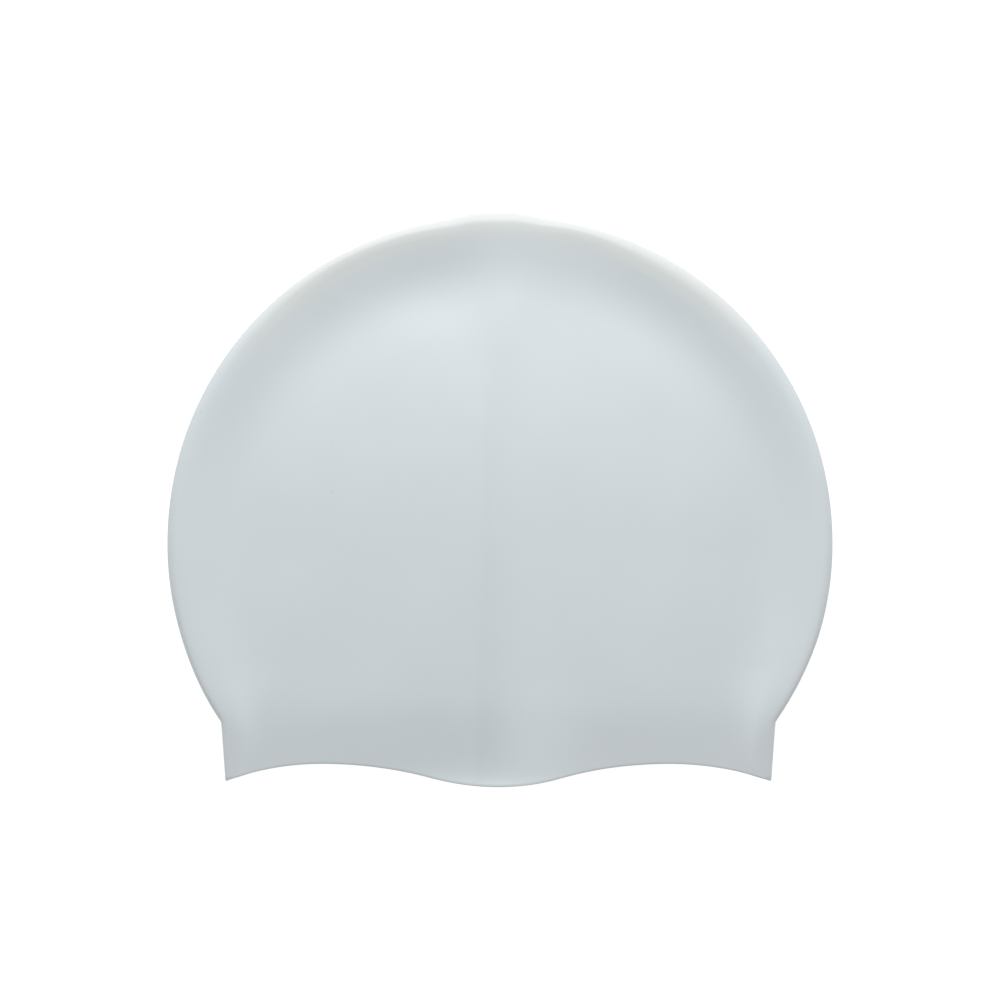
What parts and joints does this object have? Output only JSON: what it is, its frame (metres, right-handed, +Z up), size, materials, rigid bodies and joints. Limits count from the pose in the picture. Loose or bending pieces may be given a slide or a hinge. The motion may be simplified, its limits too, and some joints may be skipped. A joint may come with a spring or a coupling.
{
  "type": "swim cap",
  "caption": "Plain moulded silicone swim cap lying flat: a round hollow shell with narrow ear bands and a wavy open hem, worn to keep hair together and dry.",
  "frame": {"origin": "on the table, under the middle of the cap's outline", "axes": "+X across the cap, +Y from the hem to the crown, +Z up from the table"},
  "size_m": [0.22, 0.1887, 0.0174],
  "materials": {
    "silicone": "satin"
  },
  "bodies": {
    "root": {"cap_shell": "silicone"}
  },
  "joints": []
}
